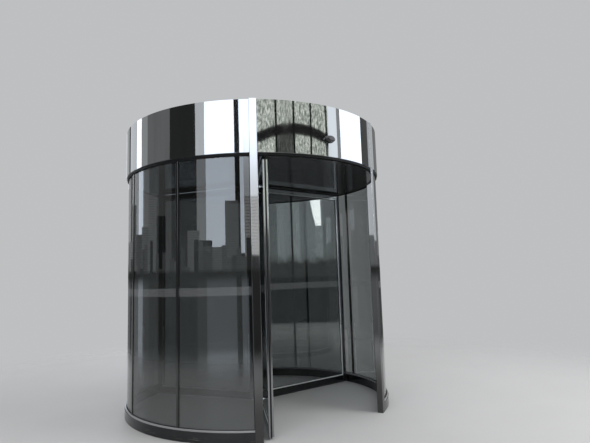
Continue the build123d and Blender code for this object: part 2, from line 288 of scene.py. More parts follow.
pole = (degrees_round - FIRST_POLE).math("PINGPONG", POLE_SPACING / 2).under(POLE_HALF)
arch_height = ARCH_TOP - (degrees_round - ARCH_MIDDLE) ** 2 * ARCH_BEND
arch = abs(height - arch_height).under(ARCH_HALF)
under_arch = height.under(arch_height) * degrees_round.between(FIRST_POLE, FIRST_POLE + POLE_SPACING)
dark_lines = (in_scrim * (pole + arch) + under_arch * 0.85).clamped()
with_lines = sky.blend(dark_lines, mottled, grey(0.02))
print("scrim over", SCRIM_SPAN[1] - SCRIM_SPAN[0], "degrees")

# %% [markdown]
# Low down stand blocks of many heights and greys, so that the glass has something to mirror at eye
# height. One noise value per block sets how tall it is, and another how grey. Thin level stripes
# keep the blocks from looking like paper. A far row stands behind a nearer and lower one, with one
# tall block between them.

# %% Stand rows of blocks at eye height
LOWER_BLOCKS = (308.0, 319.0)
TALL_BLOCK = (231.0, 243.5)
TALL_BLOCK_TOP = 0.17
HAZE_TOP = 0.32

lower_here = degrees_round.between(*LOWER_BLOCKS)


def stripes(how_many, gap):
    """Level stripes up the height, 1 on a stripe and 0 in the gap below it."""
    return (height * how_many).math("FRACT").over(gap)


def row_of_blocks(behind, width, lowest, tallest, darkest, palest, seed):
    """Blocks of random height and grey, each as many degrees wide, in front of what is behind."""
    cell = (degrees_round / width + seed).math("FLOOR")
    tall = sky.chance(cell * 1.37 + 0.31)
    tone = sky.chance(cell * 2.71 + 7.7)
    top = tall * (tallest - lowest) * (1.0 - lower_here * 0.6) + lowest
    shade = sky.ease(tone, 0.0, 1.0, darkest, palest) * (stripes(210.0, 0.32) * 0.35 + 0.65)
    return sky.blend(height.under(top), behind, sky.colour(shade * 0.97, shade, shade * 1.02))


at_tall_block = degrees_round.between(*TALL_BLOCK)
haze = sky.ease(height, HAZE_TOP, TALL_BLOCK_TOP) * at_tall_block * 0.8
with_haze = sky.blend(haze, with_lines, grey(1.0))
far_row = row_of_blocks(with_haze, width=11.3, lowest=0.03, tallest=0.19,
                        darkest=0.03, palest=0.42, seed=3.0)
tall_tone = stripes(150.0, 0.3) * 0.45 + 0.40
tall_block = sky.colour(tall_tone, tall_tone, tall_tone)
with_tall = sky.blend(height.under(TALL_BLOCK_TOP) * at_tall_block, far_row, tall_block)
near_row = row_of_blocks(with_tall, width=4.1, lowest=0.01, tallest=0.085,
                         darkest=0.02, palest=0.24, seed=0.4)
print("two rows of blocks and one tall block")

# %% [markdown]
# The wings' panes mirror one narrow sector only. A gap is left there between the blocks: pale
# strips with one bright slot above, and dark flecks at eye height. The slot leans a little, so its
# left edge depends on the height.

# %% Open a gap for the wings' panes
GAP = (307.5, 318.0)
GAP_TOP = 0.215
SLOT_FOOT, SLOT_RIGHT, SLOT_LEFT, SLOT_LEAN, SLOT_GLOW = 0.105, 316.2, 316.8, 12.0, 18.0
GAP_TINT = (0.92, 1.0, 1.03)

in_gap = degrees_round.between(*GAP)
strip_tone = sky.ease(sky.chance((degrees_round * 1.1).math("FLOOR")), 0.0, 1.0, 1.5, 3.4)
in_slot = degrees_round.over(SLOT_LEFT - height * SLOT_LEAN) * degrees_round.under(SLOT_RIGHT)
slot = in_slot * height.over(SLOT_FOOT) * SLOT_GLOW
gap_light = sky.colour(*(strip_tone * tint + slot for tint in GAP_TINT))
flecks = sky.noise(direction, 60.0, detail=6.0, rough=0.7)
flecked = sky.blend(flecks, grey(0.02), grey(0.6))
gap_view = sky.blend(sky.ease(height + flecks * 0.05, 0.05, 0.075), flecked, gap_light)
gap_mask = in_gap * height.between(0.0, GAP_TOP)
blocks = sky.blend(gap_mask, near_row, gap_view)
print("gap of", GAP[1] - GAP[0], "degrees")

# %% [markdown]
# Below the horizon the same boards are seen dimmed, as a dull floor mirrors them. Polished posts
# look darkest between thigh and eye height, so a band under the horizon is dimmed more towards
# the street, and a dark line runs along the horizon itself.

# %% Dim the boards below the horizon
DIMMED, DIMMED_MORE = 0.30, 0.18
BAND_FOOT, BAND_HEAD = -0.155, -0.135
DARK = grey(0.035)

street_side = degrees_round.between(147.0, 255.0) + degrees_round.over(326.0) + degrees_round.under(35.0)
upper_band = sky.ease(height, BAND_FOOT, BAND_HEAD)
dimmed = sky.blend(DIMMED - upper_band * street_side.clamped() * DIMMED_MORE, grey(0.05), board)
ground = sky.blend(sky.ease(height, 0.012, -0.015), DARK, dimmed)
beside_tall_block = degrees_round.between(233.0, 255.0)
ground = sky.blend((beside_tall_block + upper_band * in_gap).clamped(), ground, DARK)
print("boards dimmed to", DIMMED, "and in the band to", round(DIMMED - DIMMED_MORE, 2))

# %% [markdown]
# Two things are still missing: the pale strip low in the gap, which the wings mirror as the floor
# beyond them, and light from above. High up, everything eases into one broad white.

# %% Add the pale strip and the overhead light
STRIP_MIDDLE = -0.125
OVERHEAD_FROM, OVERHEAD_FULL = 0.42, 0.62

strip = sky.ease(abs(height - STRIP_MIDDLE), 0.034, 0.028) * in_gap
low = sky.blend(strip, ground, grey(1.6))
above_horizon = (sky.ease(height, 0.012, 0.024) + gap_mask).clamped()
standing = sky.blend(above_horizon, low, blocks)
overhead = sky.ease(height, OVERHEAD_FROM, OVERHEAD_FULL)
reflected = sky.blend(overhead, standing, grey(0.95))
print("white overhead from", round(math.degrees(math.asin(OVERHEAD_FULL))), "degrees up")

# %% Give the camera a plain backdrop
BACKDROP = (0.515, 0.522, 0.53, 1.0)
seen = sky.node("LightPath", output="Is Camera Ray")
shown = sky.blend(seen, reflected, BACKDROP)
sky.surface(sky.node("Background", sockets={"Color": shown, "Strength": 1.0}), "OutputWorld")
scene.view_settings.view_transform = "Standard"
print("world made of", len(world.node_tree.nodes), "nodes")

# %% [markdown]
# The floor is a pale disc. A square or a hard rim would show as an edge, so the disc thins out into
# the backdrop with its distance from the door.

# %% Lay the floor
FLOOR_RADIUS = 13.0
FADE_FROM, FADE_TO = 3.2, 7.5
bpy.ops.object.select_all(action="DESELECT")
bpy.ops.mesh.primitive_circle_add(vertices=96, radius=FLOOR_RADIUS, fill_type="NGON",
                                  location=(0, 0, -0.0005))
floor = bpy.context.object
floor.name = "studio_floor"

paint = Tree(bpy.data.materials.new("floor_paint"))
place = paint.place()
x, y = paint.parts(place)[:2]
reach = (x * x + y * y) ** 0.5
solid = paint.node("BsdfPrincipled", sockets={
    "Base Color": paint.blend(paint.noise(place, 1.3), grey(0.46, 0.01), grey(0.50, 0.01)),
    "Roughness": 0.62})
faded = paint.node("MixShader", sockets={
    0: paint.ease(reach, FADE_FROM, FADE_TO), 1: solid, 2: paint.node("BsdfTransparent")})
floor.data.materials.append(paint.surface(faded))
print("floor disc", round(floor.dimensions.x, 1), "m across")

# %% [markdown]
# Two large area lights give soft shadows. The strong one hangs high over the street, to the right,
# and a weak one fills in from the left. Neither shows in the steel or the glass, because a square
# lamp in a round mirror would look out of place.

# %% Light the set
AIM = Vector((0, 0, 1.0))


def soft_light(name, at, size, watts):
    lamp = bpy.data.lights.new(name, "AREA")
    lamp.shape = "SQUARE"
    lamp.size = size
    lamp.energy = watts
    stand = bpy.data.objects.new(name, lamp)
    scene.collection.objects.link(stand)
    stand.location = at
    stand.rotation_euler = (AIM - Vector(at)).to_track_quat("-Z", "Y").to_euler()
    stand.visible_glossy = False
    return stand


lights = [soft_light("street_light", at=(4.0, -6.5, 5.5), size=3.5, watts=300),
          soft_light("fill_light", at=(-6.0, -2.5, 6.0), size=5.0, watts=60)]
print(len(lights), "soft lights")

# %% [markdown]
# ## Steel
# The posts and the canopy are mirror-polished stainless steel. A mirror's colour is what it
# reflects, so the finish is a metal with very low roughness, a trace of waviness from rolling, and
# wiping marks that dull it in streaks. Towards the floor its colour is blended to a dark grey, which
# is painted dark reflection with some dust, and it is dulled a little more there. One function makes
# every polished steel of the door, from its colour, how dull and wavy it is, and its painted foot tone.

# %% Mirror-polished steel
# Heights over which the painted foot tone fades in, from none to full.
PAINTED_FOOT_FROM, PAINTED_FOOT_FULL = 1.2, 0.2


def darker(colour, share):
    """A colour with its light taken down to a share."""
    return tuple(channel * share for channel in colour[:3]) + (1.0,)


def polished(name, colour, dull, wave, painted_foot_share, painted_foot_tone=grey(0.068, 0.03), matt=0.0):
    """Polished steel. Towards the foot it is blended to its foot tone: painted dark reflection with some
    dust on the mirror steels, a painted highlight on the satin beads. matt says how far that tone hides
    the metal.
    """
    steel = Tree(bpy.data.materials.new(name))
    place = steel.place()
    z = steel.parts(place)[2]
    wiping = steel.noise(steel.stretched(place, (9.0, 9.0, 1.1)), 1.0, detail=5.0, rough=0.6)
    specks = steel.noise(place, 55.0, detail=3.0, rough=0.7)
    # The foot blend: painted dark reflection with some dust on the mirror steels, a painted highlight on
    # the satin beads.
    dust = steel.ease(z, PAINTED_FOOT_FROM, PAINTED_FOOT_FULL) * painted_foot_share
    marks = steel.ease(wiping, 0.45, 0.8) * 0.03 + steel.ease(specks, 0.6, 0.8) * 0.06
    tone = steel.blend(steel.ease(wiping, 0.35, 0.75), colour, darker(colour, 0.90))
    rolled = steel.noise(steel.stretched(place, (1.0, 1.0, 0.45)), 3.2, detail=2.0, rough=0.4)
    shader = steel.node("BsdfPrincipled", sockets={
        "Base Color": steel.blend(dust, tone, painted_foot_tone),
        "Metallic": (1.0 - dust * matt).clamped() if matt else 1.0,
        "Roughness": (dull + marks + dust * 0.12).clamped(),
        "Normal": steel.bump(rolled, wave)})
    return steel.surface(shader)


# The dark foot tone of these three steels is painted dark reflection, with some dust.
mirror_steel = polished("mirror_steel", (0.46, 0.47, 0.475, 1.0), dull=0.03, wave=0.0009, painted_foot_share=0.95)
slim_steel = polished("slim_steel", (0.26, 0.265, 0.27, 1.0), dull=0.10, wave=0.0003, painted_foot_share=0.9)
wing_steel = polished("wing_steel", (0.50, 0.51, 0.52, 1.0), dull=0.10, wave=0.0004, painted_foot_share=0.4)
print("mirror steel for posts and canopy, softer steels for joints and wings")

# %% [markdown]
# The glazing beads are satin, not mirror-bright. Towards the foot their colour is blended to a pale
# grey, a painted highlight that draws the thin light lines at the foot of the glass. The walls' beads
# are darker than the wings', and their foot is blended to a mid grey, a fainter painted highlight.

# %% Satin steel for the beads
satin = {"dull": 0.24, "wave": 0.0002, "painted_foot_share": 0.8, "matt": 0.8}
# The pale and mid-grey foot tones paint the highlights along the beads near the floor.
bead_steel = polished("bead_steel", (0.78, 0.79, 0.80, 1.0), painted_foot_tone=grey(0.90, 0.01), **satin)
outer_bead_steel = polished("outer_bead_steel", (0.50, 0.51, 0.52, 1.0),
                            painted_foot_tone=grey(0.27, 0.01), **satin)
print("two satin steels")

# %% [markdown]
# The base rings and the wings' kick rails are much darker than the posts: a black-toned polished
# steel that shoes scuff. The scuffs are short level streaks, strongest near the floor, so noise is
# squeezed along the height and faded out upwards.

# %% Dark kick steel
SCUFF_HEAD, SCUFF_FOOT = 0.10, 0.01


def dark_polished(name):
    steel = Tree(bpy.data.materials.new(name))
    place = steel.place()
    z = steel.parts(place)[2]
    streaks = steel.noise(steel.stretched(place, (7.0, 7.0, 160.0)), 1.0, detail=5.0, rough=0.65)
    scuff = steel.ease(streaks, 0.55, 0.75) * steel.ease(z, SCUFF_HEAD, SCUFF_FOOT)
    cloud = steel.noise(place, 6.0)
    tone = steel.blend(cloud, (0.038, 0.040, 0.042, 1), (0.064, 0.065, 0.066, 1))
    shader = steel.node("BsdfPrincipled", sockets={
        "Base Color": steel.blend(scuff * 0.6, tone, (0.28, 0.27, 0.26, 1)),
        "Metallic": 0.9,
        "Roughness": (0.13 + scuff * 0.35 + cloud * 0.08).clamped(),
        "Normal": steel.bump(streaks, 0.00015)})
    return steel.surface(shader)


kick_steel = dark_polished("kick_steel")
print("dark steel with scuffs up to", SCUFF_HEAD, "m")

# %% [markdown]
# ## Glass
# Safety glass is a thin clear slab, here slightly smoky. Glass that bends light would keep the lamps
# out of the drum, so each face lets light straight through with a tint, and mirrors a share that
# grows towards a glancing angle. A frosted band at chest height warns people off the pane, and a
# haze of dust lies low down. Both are a thin film over the glass, mixed in where they lie.

# %% Smoky glass with a frosted band
FROST_FOOT, FROST_HEAD = 1.335, 1.415
WALL_TINT, WING_TINT = (0.495, 0.512, 0.51, 1.0), (0.52, 0.538, 0.535, 1.0)


def smoky_glass(name, tint, head_on, frost):
    """Glass that mirrors a share head_on, with a band that is covered by a share frost."""
    glass = Tree(bpy.data.materials.new(name))
    place = glass.place()
    z = glass.parts(place)[2]
    facing = glass.node("LayerWeight", sockets={"Blend": 0.5}, output="Facing")
    mirror_share = (facing ** 5.0) * (1.0 - head_on) + head_on
    clear = glass.node("BsdfTransparent", sockets={"Color": tint})
    mirror = glass.node("BsdfGlossy", sockets={"Color": grey(0.96), "Roughness": 0.012})
    pane = glass.node("MixShader", sockets={0: mirror_share, 1: clear, 2: mirror})
    smears = glass.noise(glass.stretched(place, (2.2, 2.2, 0.8)), 1.5, detail=5.0, rough=0.6)
    haze = glass.ease(smears, 0.5, 0.85) * 0.02 + glass.ease(z, 0.45, 0.08) * 0.03
    film = glass.node("BsdfPrincipled", sockets={
        "Base Color": glass.blend(smears, grey(0.52), grey(0.60)), "Roughness": 0.55})
    cover = (haze + z.between(FROST_FOOT, FROST_HEAD) * frost).clamped()
    shader = glass.node("MixShader", sockets={0: cover, 1: pane, 2: film})
    return glass.surface(shader)


wall_pane = smoky_glass("wall_pane", WALL_TINT, head_on=0.10, frost=0.11)
wing_pane = smoky_glass("wing_pane", WING_TINT, head_on=0.16, frost=0.17)
print("a wall's pane lets", round(WALL_TINT[1] ** 2, 2), "of the light through its two faces")

# %% [markdown]
# ## Ceiling, channel, rubber and plastic
# These are all black, and differ in how they shine. The ceiling is lacquered and mirrors the
# wings, with a slight ripple. The channel under the canopy is matt, so that the glass seems to end
# in shadow. The sensors are moulded plastic with a fine grain, and rubber and brushes hardly shine.
# One function makes them all, from grain, roughness and coat.

# %% Black lacquer, black channel, moulded plastic, rubber and nylon


def black_paint(name, level, rough, grain, coat=0.0, wave=0.0001, shine=0.5):
    black = Tree(bpy.data.materials.new(name))
    place = black.place()
    dust = black.noise(place, 7.0, detail=5.0, rough=0.6)
    fine = black.noise(place, grain, detail=2.0, rough=0.5)
    shader = black.node("BsdfPrincipled", sockets={
        "Base Color": black.blend(black.ease(dust, 0.45, 0.8), grey(level), grey(level * 1.9, 0.03)),
        "Roughness": (rough + dust * 0.10).clamped(),
        "Specular IOR Level": shine,
        "Coat Weight": coat,
        "Coat Roughness": 0.05,
        "Normal": black.bump(fine, wave, strength=0.5)})
    return black.surface(shader)


ceiling_lacquer = black_paint("ceiling_lacquer", 0.05, rough=0.07, grain=3.0, coat=1.0, wave=0.004)
channel_black = black_paint("channel_black", 0.010, rough=0.45, grain=300.0, shine=0.12)
sensor_black = black_paint("sensor_black", 0.012, rough=0.22, grain=900.0, coat=0.8)
rubber_black = black_paint("rubber_black", 0.010, rough=0.62, grain=700.0)
brush_nylon = black_paint("brush_nylon", 0.010, rough=0.75, grain=1400.0)
print("five blacks")

# %% [markdown]
# ## Roof and bearings
# The roof and the frame inside the canopy are primed sheet, plain and a little cloudy, and the
# brush holders get a darker primer. The bearings are turned on a lathe, which leaves fine rings
# round the axis. Anisotropic shading could hint at them, but a wave of rings in the bump draws them.

# %% Primed sheet


def primed(name, level, rough):
    coat = Tree(bpy.data.materials.new(name))
    place = coat.place()
    cloud = coat.noise(place, 3.0, detail=5.0, rough=0.6)
    fine = coat.noise(place, 120.0, detail=2.0, rough=0.5)
    shader = coat.node("BsdfPrincipled", sockets={
        "Base Color": coat.blend(cloud, grey(level), grey(level * 1.25, 0.02)),
        "Roughness": (rough + cloud * 0.15).clamped(),
        "Metallic": 0.0,
        "Normal": coat.bump(fine, 0.0002, strength=0.5)})
    return coat.surface(shader)


roof_grey = primed("roof_grey", 0.27, rough=0.5)
holder_steel = primed("holder_steel", 0.06, rough=0.38)
print("primer for the roof, and a darker one for the brush holders")

# %% Machined steel with turning marks


def turned_steel(name):
    steel = Tree(bpy.data.materials.new(name))
    place = steel.place()
    rings = steel.node("TexWave", {"wave_type": "RINGS", "rings_direction": "Z"},
                       {"Vector": place, "Scale": 140.0, "Distortion": 0.4, "Detail": 2.0})
    stain = steel.noise(place, 22.0)
    shader = steel.node("BsdfPrincipled", sockets={
        "Base Color": steel.blend(stain, grey(0.42), grey(0.56)),
        "Metallic": 1.0,
        "Roughness": (0.24 + stain * 0.16).clamped(),
        "Normal": steel.bump(rings, 0.00005, strength=0.5)})
    return steel.surface(shader)


bearing_steel = turned_steel("bearing_steel")
print("turned steel for bearings and screws")

# %% [markdown]
# ## Finishes on the CAD nodes
# Each node keeps its mesh and gets its finish in place of the plain one it came with. A node's name
# says what it is, so one function can pick the finish by name.

# %% Give every node its finish


def finish_of(node):
    if node.startswith("wall_glass"):
        return wall_pane
    if node.endswith("_glass"):
        return wing_pane
    if node.startswith("base_ring") or node.endswith("bottom_rail"):
        return kick_steel
    if node.startswith("glass_joints"):
        return slim_steel
    if node.endswith("_beads"):
        return outer_bead_steel if node.startswith("wall_") else bead_steel
    if node.startswith(("wing_", "shaft_", "centre_")):
        return brush_nylon if node.endswith("seals") else wing_steel
    if node.startswith("head_channel"):
        return channel_black
    if node.startswith("motion_sensor"):
        return sensor_black
    if node == "ceiling_panel":
        return ceiling_lacquer
    if node.startswith(("roof_", "canopy_")):
        return roof_grey
    if node.endswith(("bearing", "housing")):
        return bearing_steel
    return mirror_steel


for name, piece in nodes.items():
    piece.data.materials.clear()
    piece.data.materials.append(finish_of(name))
print("finished", len(nodes), "nodes")

# %% [markdown]
# ## Modelling by hand
# Every added piece starts from a primitive at its real size and place and is then shaped in edit
# mode. Operators act on everything that is selected, so each helper first deselects all, and faces
# are picked by where they lie or which way they look. A piece's place goes into its mesh and its
# object stays at the origin, as a CAD node's does.

# %% Select, name and size a piece


def alone(piece):
    """Select one piece and nothing else."""
    bpy.ops.object.select_all(action="DESELECT")
    piece.select_set(True)
    bpy.context.view_layer.objects.active = piece


def named(name, size=(1, 1, 1)):
    """Name and size the primitive that was just added, and put its size and place into its mesh."""
    piece = bpy.context.object
    piece.name = piece.data.name = name
    piece.scale = size
    alone(piece)
    bpy.ops.object.transform_apply(location=True, rotation=True, scale=True)
    return piece


def block(name, low, high):
    """A block between two corners."""
    bpy.ops.object.select_all(action="DESELECT")
    middle = (Vector(low) + Vector(high)) / 2
    bpy.ops.mesh.primitive_cube_add(size=1, location=middle)
    return named(name, Vector(high) - Vector(low))


# %% Go into edit mode and pick faces


def edit(piece):
    alone(piece)
    bpy.ops.object.mode_set(mode="EDIT")


def done():
    bpy.ops.object.mode_set(mode="OBJECT")


def pick(piece, wanted):
    """In edit mode, select the faces for which wanted(middle, normal) is true."""
    mesh = bmesh.from_edit_mesh(piece.data)
    bpy.ops.mesh.select_mode(type="FACE")
    bpy.ops.mesh.select_all(action="DESELECT")
    for face in mesh.faces:
        face.select = bool(wanted(face.calc_center_median(), face.normal))
    mesh.select_flush_mode()
    bmesh.update_edit_mesh(piece.data)


def tops(middle, normal):
    """True for a face that looks straight up."""
    return normal.z > 0.9


def turn_outwards():
    """In edit mode, turn every face outwards."""
    bpy.ops.mesh.select_all(action="SELECT")
    bpy.ops.mesh.normals_make_consistent(inside=False)


# %% Round the edges and smooth the shading


def round_edges(piece, width, segments=2):
    """A Bevel modifier on the sharp edges, applied."""
    alone(piece)
    rounding = piece.modifiers.new("rounding", "BEVEL")
    rounding.width = width
    rounding.segments = segments
    rounding.limit_method = "ANGLE"
    rounding.angle_limit = math.radians(40)
    bpy.ops.object.modifier_apply(modifier=rounding.name)


def smooth(piece, angle=35):
    alone(piece)
    bpy.ops.object.shade_smooth_by_angle(angle=math.radians(angle))


# %% Copy, join and move pieces


def copied(piece, name=None):
    """A copy with its own mesh."""
    twin = piece.copy()
    twin.data = piece.data.copy()
    scene.collection.objects.link(twin)
    if name:
        twin.name = twin.data.name = name
    return twin


def joined(pieces, name):
    """Several pieces as one."""
    bpy.ops.object.select_all(action="DESELECT")
    for piece in pieces:
        piece.select_set(True)
    bpy.context.view_layer.objects.active = pieces[0]
    bpy.ops.object.join()
    whole = bpy.context.object
    whole.name = whole.data.name = name
    return whole


def tilted(piece, angle, axis):
    """Turn a piece about one of the axes through the origin, inside its mesh."""
    piece.data.transform(Matrix.Rotation(math.radians(angle), 4, axis))
    return piece


def moved(piece, turn=0.0, shift=(0, 0, 0)):
    """Turn a piece about the drum's axis and shift it, inside its mesh."""
    piece.data.transform(Matrix.Translation(shift) @ Matrix.Rotation(math.radians(turn), 4, "Z"))
    return piece


# %% Dress a piece and say what carries it


def dressed(piece, finish, body, slot, *replaced):
    """Give a piece its finish and its body, hide the nodes it replaces, and say what it weighs in
    triangles. The slot is not used.
    """
    piece.data.materials.clear()
    piece.data.materials.append(finish)
    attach(piece, body)
    if replaced:
        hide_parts(*replaced)
    triangles = sum(len(face.vertices) - 2 for face in piece.data.polygons)
    print(piece.name, triangles, "triangles on", body)
    return piece


REST_ANGLE = 4.3
wing_turns = [REST_ANGLE, REST_ANGLE + 120, REST_ANGLE + 240]
print("wings at", wing_turns, "degrees")

# %% [markdown]
# ## Brush seals
# Each wing is closed against the wall, floor and ceiling by nylon brushes. The real strip is a folded
# metal holder that pinches thousands of bristles. Single hairs would be too many faces, so a tuft of
# a few faces is made once, leaned a little at random, and repeated in rows by an Array modifier.

# %% Make one tuft
TUFT_PITCH = 0.0034
ROW_PITCH = TUFT_PITCH * 0.72
TUFT_FOOT, TUFT_NECK, TUFT_LEAN = 0.0017, 0.0013, 0.0008
random.seed(7)


def tuft(x, y, length):
    """One tuft that stands on z = 0, with its tip leaned and narrowed."""
    bpy.ops.object.select_all(action="DESELECT")
    bpy.ops.mesh.primitive_cone_add(vertices=5, radius1=TUFT_FOOT, radius2=TUFT_NECK,
                                    depth=length * 0.6, location=(x, y, length * 0.3))
    piece = named("tuft")
    edit(piece)
    pick(piece, tops)
    lean = (random.uniform(-TUFT_LEAN, TUFT_LEAN), random.uniform(-TUFT_LEAN, TUFT_LEAN), length * 0.4)
    bpy.ops.mesh.extrude_region_move(TRANSFORM_OT_translate={"value": lean})
    bpy.ops.transform.resize(value=(0.5, 0.5, 1.0))
    done()
    return piece


print("a tuft every", TUFT_PITCH * 1000, "mm")

# %% Repeat tufts along a strip
TUFTS_A_MODULE = 9


def brush(name, run, length):
    """Three rows of tufts along +X from the origin for the length of run, standing on z = 0."""
    module = [tuft((i + 0.5) * TUFT_PITCH, row * ROW_PITCH, length)
              for i in range(TUFTS_A_MODULE) for row in (-1, 0, 1)]
    strip = joined(module, name)
    repeat = strip.modifiers.new("repeat", "ARRAY")
    repeat.use_relative_offset = False
    repeat.use_constant_offset = True
    repeat.constant_offset_displace = (TUFTS_A_MODULE * TUFT_PITCH, 0, 0)
    repeat.count = int(run / (TUFTS_A_MODULE * TUFT_PITCH))
    alone(strip)
    bpy.ops.object.modifier_apply(modifier=repeat.name)
    return strip


print("tufts in a module:", 3 * TUFTS_A_MODULE)

# %% Make the folded holder
HOLDER_WIDTH, HOLDER_DEPTH = 0.016, 0.008
LIP_SHARE, MOUTH_SHARE = 0.16, 0.45


def holder(name, run, width, depth):
    """A channel along +X whose two lips pinch the brush, with its mouth at z = 0."""
    channel = block(name, (0, -width / 2, -depth), (run, width / 2, 0))
    edit(channel)
    pick(channel, tops)
    bpy.ops.mesh.inset(thickness=width * LIP_SHARE, use_boundary=True)
    bpy.ops.mesh.extrude_region_move(TRANSFORM_OT_translate={"value": (0, 0, -depth * MOUTH_SHARE)})
    done()
    round_edges(channel, 0.0008)
    return channel


print("holder", HOLDER_WIDTH, "m wide and", HOLDER_DEPTH, "m deep")

# %% [markdown]
# The three strips of a wing are laid out on a wing that points along +X, then copied and turned to
# the three wings. The holders and the bristles are separate pieces, because they have different
# finishes, and together they stand for the plain solid strips of the frame. A thin dark core
# between the rows keeps light from falling through the brush.

# %% Lay the strips along one wing
WING_EDGE, WING_FOOT, WING_HEAD, WING_ROOT = 1.475, 0.025, 2.655, 0.105
BRISTLE = 0.012
CORE_HALF = 0.0028


def laid(piece, where):
    """Turn a strip that runs along +X and stands up, so that it lies on the edge, foot or head."""
    if where == "edge":
        tilted(piece, -90, "Y")
        tilted(piece, 180, "Z")
        return moved(piece, shift=(WING_EDGE + HOLDER_DEPTH, 0, WING_FOOT))
    if where == "foot":
        tilted(piece, 180, "X")
        return moved(piece, shift=(WING_ROOT, 0, WING_FOOT - HOLDER_DEPTH))
    return moved(piece, shift=(WING_ROOT, 0, WING_HEAD + HOLDER_DEPTH))


across = WING_EDGE - WING_ROOT
runs = {"edge": WING_HEAD - WING_FOOT, "foot": across, "head": across}
bristles = [laid(brush("bristles", run, BRISTLE), where) for where, run in runs.items()]
cores = [laid(block("core", (0, -CORE_HALF, 0), (run, CORE_HALF, BRISTLE * 0.8)), where)
         for where, run in runs.items()]
holders = [laid(holder("holder", run, HOLDER_WIDTH, HOLDER_DEPTH), where)
           for where, run in runs.items()]
wing_bristles = joined(bristles + cores, "bristles")
wing_holders = joined(holders, "holders")
print("one wing's bristles:", len(wing_bristles.data.polygons), "faces")

# %% Turn copies to the three wings
for index, turn in enumerate(wing_turns, 1):
    node = f"wing_{index}_seals"
    hairs = moved(copied(wing_bristles, f"wing_{index}_bristles"), turn)
    dressed(hairs, brush_nylon, "rotor", "brush_seal", node)
    rail = moved(copied(wing_holders, f"wing_{index}_seal_holders"), turn)
    smooth(rail)
    dressed(rail, holder_steel, "rotor", "brush_seal", node)
bpy.data.objects.remove(wing_bristles)
bpy.data.objects.remove(wing_holders)

# %% [markdown]
# ## Glazing of the wings
# The frame's satin beads press a soft black gasket against each face of the pane. The gasket is a
# loop. Four bars would meet in visible corners, so a plane as large as the opening is inset, its
# middle is deleted, and what is left is extruded. It reaches a little beyond the bead, so that a
# thin black line shows beside the glass.

# %% Make a loop round an opening
OPEN_IN, OPEN_OUT, OPEN_LOW, OPEN_HIGH = 0.1173, 1.415, 0.100, 2.605
opening_middle = ((OPEN_IN + OPEN_OUT) / 2, (OPEN_LOW + OPEN_HIGH) / 2)


def loop(name, width, near, far):
    """A frame of a width inside the wing's opening, from y = near to y = far."""
    bpy.ops.object.select_all(action="DESELECT")
    bpy.ops.mesh.primitive_plane_add(size=1, rotation=(math.radians(90), 0, 0),
                                     location=(opening_middle[0], near, opening_middle[1]))
    rim = named(name, (OPEN_OUT - OPEN_IN, OPEN_HIGH - OPEN_LOW, 1))
    edit(rim)
    bpy.ops.mesh.select_all(action="SELECT")
    bpy.ops.mesh.inset(thickness=width)
    bpy.ops.mesh.delete(type="FACE")
    bpy.ops.mesh.select_all(action="SELECT")
    bpy.ops.mesh.extrude_region_move(TRANSFORM_OT_translate={"value": (0, far - near, 0)})
    turn_outwards()
    done()
    return rim


def both_faces(piece):
    """The piece and its mirror image on the pane's other face."""
    twin = copied(piece)
    twin.data.transform(Matrix.Scale(-1, 4, (0, 1, 0)))
    edit(twin)
    turn_outwards()
    done()
    return joined([piece, twin], piece.name)


print("opening", round(OPEN_OUT - OPEN_IN, 3), "by", round(OPEN_HIGH - OPEN_LOW, 3), "m")

# %% Fit a gasket on each wing
GASKET_WIDTH, GASKET_BACK, GASKET_FRONT, GASKET_CORNER = 0.0135, 0.0052, 0.0084, 0.0012
gasket = loop("gasket", GASKET_WIDTH, GASKET_BACK, GASKET_FRONT)
round_edges(gasket, GASKET_CORNER)
gasket = both_faces(gasket)
for index, turn in enumerate(wing_turns, 1):
    rubber = moved(copied(gasket, f"wing_{index}_gasket"), turn)
    smooth(rubber)
    dressed(rubber, rubber_black, "rotor", "black_channel")
bpy.data.objects.remove(gasket)

# %% [markdown]
# ## Glazing of the curved walls
# A gasket fills the gap between the curved glass and each bead, and another closes the head. A
# straight bar could be bent round, but a spin is exact: a small section is drawn as a plane and spun
# about the drum's axis, as far as the wall reaches between its posts.

# %% Spin a small section round a wall
WALL_RADIUS = 1.53
WALL_SPAN = 120
WALL_STARTS = {"left": 120.0, "right": -60.0}
POST_HALF = math.degrees(0.039 / WALL_RADIUS)
SPIN_STEPS = 96


def closed(piece):
    """Merge doubles and turn every face outwards."""
    edit(piece)
    bpy.ops.mesh.select_all(action="SELECT")
    bpy.ops.mesh.remove_doubles(threshold=0.00002)
    bpy.ops.mesh.fill_holes(sides=0)
    turn_outwards()
    done()
    return piece


def arc(name, radii, heights, start, span, corner):
    """A band between two radii and two heights, spun from start for span degrees, with soft edges."""
    inner, outer = radii
    low, high = heights
    bpy.ops.object.select_all(action="DESELECT")
    bpy.ops.mesh.primitive_plane_add(size=1, rotation=(math.radians(90), 0, 0),
                                     location=((inner + outer) / 2, 0, (low + high) / 2))
    band = named(name, (outer - inner, high - low, 1))
    moved(band, start)
    edit(band)
    bpy.ops.mesh.select_all(action="SELECT")
    bpy.ops.mesh.bevel(offset=corner, segments=2, affect="VERTICES")
    bpy.ops.mesh.select_all(action="SELECT")
    bpy.ops.mesh.spin(steps=SPIN_STEPS, angle=math.radians(-span), center=(0, 0, 0), axis=(0, 0, 1))
    done()
    return closed(band)


print("wall of", WALL_SPAN, "degrees, of which posts take", round(2 * POST_HALF, 1))

